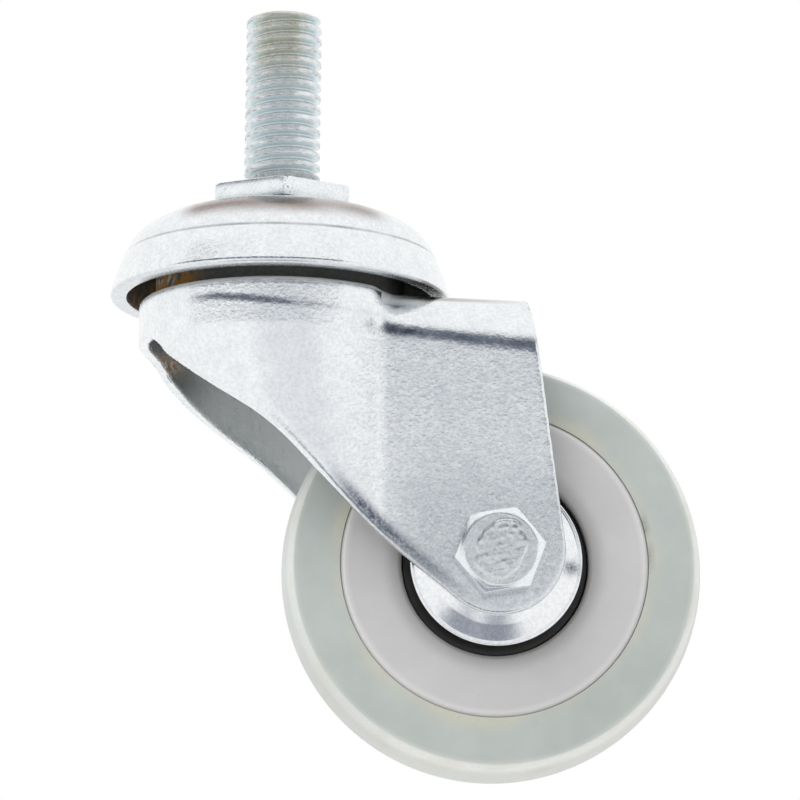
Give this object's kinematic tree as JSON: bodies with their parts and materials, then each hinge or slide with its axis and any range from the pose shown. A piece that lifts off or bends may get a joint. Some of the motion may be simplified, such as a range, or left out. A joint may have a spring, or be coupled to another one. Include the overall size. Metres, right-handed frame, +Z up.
{
  "type": "stem castor",
  "caption": "Swivel castor with a threaded stem, domed ball head, pressed steel fork and a rubber-tyred wheel turning on an axle bolt.",
  "frame": {"origin": "on the swivel axis, at the top face of the hexagonal collar, where the stem seats", "axes": "+Z up along the stem and swivel axis, +X from the stem towards the wheel, Y along the wheel axle with the bolt head at -Y"},
  "size_m": [0.0741, 0.0426, 0.0969],
  "materials": {
    "zinc_turned": "bright zinc plate on turned steel",
    "zinc_sheet": "bright zinc plate on pressed sheet, slightly grainy",
    "race_steel": "plain hardened steel, greased",
    "guard_plate": "polished bright plate",
    "ball_steel": "ground and polished steel",
    "core_plastic": "moulded warm grey plastic",
    "tyre_rubber": "grey-green rubber",
    "black_plastic": "moulded black plastic"
  },
  "bodies": {
    "head": {"stem": "zinc_turned", "head_cover": "zinc_sheet", "lower_race": "race_steel"},
    "upper_balls": {"upper_ball_01": "ball_steel", "upper_ball_02": "ball_steel", "upper_ball_03": "ball_steel", "upper_ball_04": "ball_steel", "upper_ball_05": "ball_steel", "upper_ball_06": "ball_steel", "upper_ball_07": "ball_steel", "upper_ball_08": "ball_steel", "upper_ball_09": "ball_steel", "upper_ball_10": "ball_steel", "upper_ball_11": "ball_steel", "upper_ball_12": "ball_steel", "upper_ball_13": "ball_steel", "upper_ball_14": "ball_steel", "upper_ball_15": "ball_steel", "upper_ball_16": "ball_steel"},
    "lower_balls": {"lower_ball_01": "ball_steel", "lower_ball_02": "ball_steel", "lower_ball_03": "ball_steel", "lower_ball_04": "ball_steel", "lower_ball_05": "ball_steel", "lower_ball_06": "ball_steel", "lower_ball_07": "ball_steel", "lower_ball_08": "ball_steel", "lower_ball_09": "ball_steel", "lower_ball_10": "ball_steel", "lower_ball_11": "ball_steel", "lower_ball_12": "ball_steel"},
    "fork": {"fork": "zinc_sheet", "axle_bolt": "zinc_turned", "axle_nut": "zinc_turned", "axle_sleeve": "race_steel", "thread_guard_near": "guard_plate", "thread_guard_far": "guard_plate", "bearing_cone_near": "race_steel", "bearing_cone_far": "race_steel"},
    "near_balls": {"bearing_balls_near": "ball_steel"},
    "far_balls": {"bearing_balls_far": "ball_steel"},
    "wheel": {"wheel_core": "core_plastic", "tyre": "tyre_rubber", "bearing_cup_near": "black_plastic", "bearing_cup_far": "black_plastic"}
  },
  "joints": [
    {"name": "swivel", "type": "hinge", "parent": "head", "child": "fork", "pos_m": [0, 0, 0], "axis": [0, 0, 1], "continuous": true},
    {"name": "upper_row_orbit", "type": "hinge", "parent": "head", "child": "upper_balls", "pos_m": [0, 0, 0], "axis": [0, 0, 1], "continuous": true},
    {"name": "lower_row_orbit", "type": "hinge", "parent": "head", "child": "lower_balls", "pos_m": [0, 0, 0], "axis": [0, 0, 1], "continuous": true},
    {"name": "wheel_spin", "type": "hinge", "parent": "fork", "child": "wheel", "pos_m": [0.02675, 0, -0.0482], "axis": [0, 1, 0], "continuous": true},
    {"name": "near_balls_orbit", "type": "hinge", "parent": "fork", "child": "near_balls", "pos_m": [0.02675, 0, -0.0482], "axis": [0, 1, 0], "continuous": true},
    {"name": "far_balls_orbit", "type": "hinge", "parent": "fork", "child": "far_balls", "pos_m": [0.02675, 0, -0.0482], "axis": [0, 1, 0], "continuous": true}
  ],
  "couplings": [
    {"joint": "upper_row_orbit", "follows": "swivel", "ratio": 0.5},
    {"joint": "lower_row_orbit", "follows": "swivel", "ratio": 0.5},
    {"joint": "near_balls_orbit", "follows": "wheel_spin", "ratio": 0.628},
    {"joint": "far_balls_orbit", "follows": "wheel_spin", "ratio": 0.628}
  ]
}
